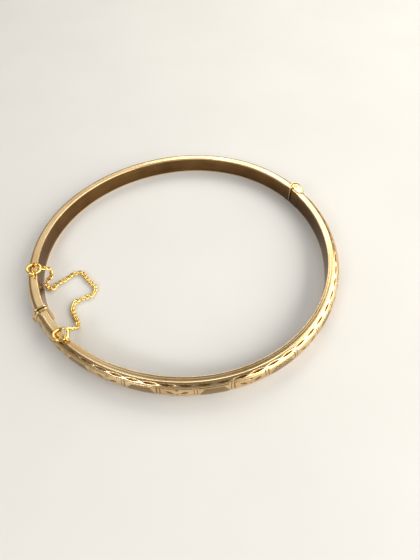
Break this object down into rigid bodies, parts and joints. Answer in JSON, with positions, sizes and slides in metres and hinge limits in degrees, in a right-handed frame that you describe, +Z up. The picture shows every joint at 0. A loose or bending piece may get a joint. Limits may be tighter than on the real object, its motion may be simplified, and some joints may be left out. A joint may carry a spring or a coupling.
{
  "type": "bangle bracelet",
  "caption": "Hinged oval bangle of D section with an engraved half, a snap tongue clasp, wire collars and a fine curb safety chain between two jump rings.",
  "frame": {"origin": "centre of the bangle's outline in plan, on the surface it lies on", "axes": "+Z up through the wrist opening, +X towards the hinge, -X towards the clasp, +Y towards the plain half, -Y towards the engraved half"},
  "size_m": [0.0654, 0.0643, 0.0051],
  "materials": {
    "polished_band": "pale nine carat gold, polished, worn with fine scratches",
    "engraved_band": "pale nine carat gold, bright-cut and florentine engraved",
    "lining": "pale gold, mirror polished",
    "hinge": "pale cast gold, polished",
    "clasp": "pale gold wire and plate, polished",
    "spring": "hard rolled gold, satin",
    "chain": "yellow gold wire, polished"
  },
  "bodies": {
    "back_half": {"back_outer_shell": "polished_band", "back_lining": "lining", "back_hinge_block": "hinge", "hinge_pin": "hinge", "back_throat_plate": "clasp", "back_collar": "clasp", "back_chain_eye": "chain"},
    "front_half": {"front_outer_shell": "engraved_band", "front_lining": "lining", "front_hinge_block": "hinge", "front_end_plate": "clasp", "front_collar": "clasp", "tongue_strip": "spring", "front_chain_eye": "chain"},
    "tongue_leaf": {"tongue_leaf": "spring"},
    "back_ring": {"back_jump_ring": "chain"},
    "front_ring": {"front_jump_ring": "chain"},
    "chain_run_01": {"chain_run_01": "chain"},
    "chain_run_02": {"chain_run_02": "chain"},
    "chain_run_03": {"chain_run_03": "chain"},
    "chain_run_04": {"chain_run_04": "chain"},
    "chain_run_05": {"chain_run_05": "chain"},
    "chain_run_06": {"chain_run_06": "chain"},
    "chain_run_07": {"chain_run_07": "chain"},
    "chain_run_08": {"chain_run_08": "chain"},
    "chain_run_09": {"chain_run_09": "chain"},
    "chain_run_10": {"chain_run_10": "chain"},
    "chain_run_11": {"chain_run_11": "chain"},
    "chain_run_12": {"chain_run_12": "chain"},
    "chain_run_13": {"chain_run_13": "chain"},
    "chain_run_14": {"chain_run_14": "chain"},
    "chain_run_15": {"chain_run_15": "chain"},
    "chain_run_16": {"chain_run_16": "chain"},
    "chain_run_17": {"chain_run_17": "chain"},
    "chain_run_18": {"chain_run_18": "chain"},
    "chain_run_19": {"chain_run_19": "chain"},
    "chain_run_20": {"chain_run_20": "chain"}
  },
  "joints": [
    {"name": "bangle_hinge", "type": "hinge", "parent": "back_half", "child": "front_half", "pos_m": [0.03142, 0.0005, 0.00208], "axis": [0, 0, 1], "range_deg": [0, 19]},
    {"name": "back_ring_swing", "type": "hinge", "parent": "back_half", "child": "back_ring", "pos_m": [-0.02888, 0.01136, 0.00432], "axis": [-0.22, -0.1032, -0.97], "range_deg": [-1, 29.08]},
    {"name": "chain_pivot_01", "type": "hinge", "parent": "back_ring", "child": "chain_run_01", "pos_m": [-0.02726, 0.0122, 0.00409], "axis": [-0.3132, -0.6321, -0.7087], "range_deg": [-1, 26.19]},
    {"name": "chain_pivot_02", "type": "hinge", "parent": "chain_run_01", "child": "chain_run_02", "pos_m": [-0.02582, 0.01155, 0.00323], "axis": [-0.4999, -0.5251, 0.6887], "range_deg": [-1, 64.92]},
    {"name": "chain_pivot_03", "type": "hinge", "parent": "chain_run_02", "child": "chain_run_03", "pos_m": [-0.02632, 0.01123, 0.00154], "axis": [0.5697, -0.3162, 0.7586], "range_deg": [-1, 51.12]},
    {"name": "chain_pivot_04", "type": "hinge", "parent": "chain_run_03", "child": "chain_run_04", "pos_m": [-0.02785, 0.01065, 0.00078], "axis": [0.5577, 0.543, -0.6278], "range_deg": [-1, 63.52]},
    {"name": "chain_pivot_05", "type": "hinge", "parent": "chain_run_04", "child": "chain_run_05", "pos_m": [-0.02748, 0.00891, 0.0005], "axis": [-0.0893, 0.2428, -0.966], "range_deg": [-1, 84.83]},
    {"name": "chain_pivot_06", "type": "hinge", "parent": "chain_run_05", "child": "chain_run_06", "pos_m": [-0.02576, 0.00944, 0.0005], "axis": [-0.688, -0.0845, 0.7208], "range_deg": [-1, 18.85]},
    {"name": "chain_pivot_07", "type": "hinge", "parent": "chain_run_06", "child": "chain_run_07", "pos_m": [-0.02397, 0.00953, 0.0005], "axis": [-0.513, 0.0084, -0.8584], "range_deg": [-1, 9.9]},
    {"name": "chain_pivot_08", "type": "hinge", "parent": "chain_run_07", "child": "chain_run_08", "pos_m": [-0.02221, 0.00988, 0.0005], "axis": [-0.0476, -0.0182, 0.9987], "range_deg": [-1, 32.81]},
    {"name": "chain_pivot_09", "type": "hinge", "parent": "chain_run_08", "child": "chain_run_09", "pos_m": [-0.02055, 0.00919, 0.0005], "axis": [0.0383, -0.0165, 0.9991], "range_deg": [-1, 53]},
    {"name": "chain_pivot_10", "type": "hinge", "parent": "chain_run_09", "child": "chain_run_10", "pos_m": [-0.02028, 0.00741, 0.0005], "axis": [-0.0156, -0.2132, -0.9769], "range_deg": [-1, 2.73]},
    {"name": "front_ring_swing", "type": "hinge", "parent": "front_half", "child": "front_ring", "pos_m": [-0.0288, -0.0064, 0.00432], "axis": [0.5283, 0.6773, 0.512], "range_deg": [-1, 18.92]},
    {"name": "chain_pivot_20", "type": "hinge", "parent": "front_ring", "child": "chain_run_20", "pos_m": [-0.02796, -0.00478, 0.00409], "axis": [0.6297, -0.3612, 0.6878], "range_deg": [-1, 53.74]},
    {"name": "chain_pivot_19", "type": "hinge", "parent": "chain_run_20", "child": "chain_run_19", "pos_m": [-0.02672, -0.0045, 0.00283], "axis": [0.17, -0.14, -0.9754], "range_deg": [-1, 45.15]},
    {"name": "chain_pivot_18", "type": "hinge", "parent": "chain_run_19", "child": "chain_run_18", "pos_m": [-0.02619, -0.00359, 0.00137], "axis": [-0.2836, 0.6364, -0.7174], "range_deg": [-1, 53.85]},
    {"name": "chain_pivot_17", "type": "hinge", "parent": "chain_run_18", "child": "chain_run_17", "pos_m": [-0.02594, -0.002, 0.00057], "axis": [-0.9391, 0.1358, -0.3156], "range_deg": [-1, 25.43]},
    {"name": "chain_pivot_16", "type": "hinge", "parent": "chain_run_17", "child": "chain_run_16", "pos_m": [-0.02585, -0.0002, 0.0005], "axis": [-0.2195, -0.972, 0.0835], "range_deg": [-1, 21.83]},
    {"name": "chain_pivot_15", "type": "hinge", "parent": "chain_run_16", "child": "chain_run_15", "pos_m": [-0.02565, 0.00158, 0.0005], "axis": [-0.211, -0.5698, 0.7942], "range_deg": [-1, 38.85]},
    {"name": "chain_pivot_14", "type": "hinge", "parent": "chain_run_15", "child": "chain_run_14", "pos_m": [-0.02446, 0.00292, 0.0005], "axis": [-0.5221, -0.2607, 0.8121], "range_deg": [-1, 56.29]},
    {"name": "chain_pivot_13", "type": "hinge", "parent": "chain_run_14", "child": "chain_run_13", "pos_m": [-0.02266, 0.0028, 0.0005], "axis": [-0.9939, 0.0754, 0.0805], "range_deg": [-1, 44.01]},
    {"name": "chain_pivot_12", "type": "hinge", "parent": "chain_run_13", "child": "chain_run_12", "pos_m": [-0.02088, 0.00256, 0.0005], "axis": [-0.4006, -0.1124, -0.9093], "range_deg": [-1, 53.17]},
    {"name": "chain_pivot_11", "type": "hinge", "parent": "chain_run_12", "child": "chain_run_11", "pos_m": [-0.01966, 0.00387, 0.0005], "axis": [0.0066, -0.039, -0.9992], "range_deg": [-1, 46.21]},
    {"name": "tongue_press", "type": "hinge", "parent": "front_half", "child": "tongue_leaf", "pos_m": [-0.03063, 0.00694, 0.002], "axis": [0, 0, 1], "range_deg": [0, 2.5], "stiffness_Nm_per_rad": 0.001}
  ],
  "couplings": [
    {"joint": "back_ring_swing", "follows": "bangle_hinge", "ratio": 1.4777},
    {"joint": "chain_pivot_01", "follows": "bangle_hinge", "ratio": 1.3257},
    {"joint": "chain_pivot_02", "follows": "bangle_hinge", "ratio": 3.364},
    {"joint": "chain_pivot_03", "follows": "bangle_hinge", "ratio": 2.6376},
    {"joint": "chain_pivot_04", "follows": "bangle_hinge", "ratio": 3.2908},
    {"joint": "chain_pivot_05", "follows": "bangle_hinge", "ratio": 4.412},
    {"joint": "chain_pivot_06", "follows": "bangle_hinge", "ratio": 0.93965},
    {"joint": "chain_pivot_07", "follows": "bangle_hinge", "ratio": 0.46856},
    {"joint": "chain_pivot_08", "follows": "bangle_hinge", "ratio": 1.6745},
    {"joint": "chain_pivot_09", "follows": "bangle_hinge", "ratio": 2.7366},
    {"joint": "chain_pivot_10", "follows": "bangle_hinge", "ratio": 0.09117},
    {"joint": "front_ring_swing", "follows": "bangle_hinge", "ratio": 0.94338},
    {"joint": "chain_pivot_20", "follows": "bangle_hinge", "ratio": 2.776},
    {"joint": "chain_pivot_19", "follows": "bangle_hinge", "ratio": 2.3237},
    {"joint": "chain_pivot_18", "follows": "bangle_hinge", "ratio": 2.7814},
    {"joint": "chain_pivot_17", "follows": "bangle_hinge", "ratio": 1.2859},
    {"joint": "chain_pivot_16", "follows": "bangle_hinge", "ratio": 1.0965},
    {"joint": "chain_pivot_15", "follows": "bangle_hinge", "ratio": 1.9921},
    {"joint": "chain_pivot_14", "follows": "bangle_hinge", "ratio": 2.9099},
    {"joint": "chain_pivot_13", "follows": "bangle_hinge", "ratio": 2.2639},
    {"joint": "chain_pivot_12", "follows": "bangle_hinge", "ratio": 2.7458},
    {"joint": "chain_pivot_11", "follows": "bangle_hinge", "ratio": 2.3793}
  ]
}
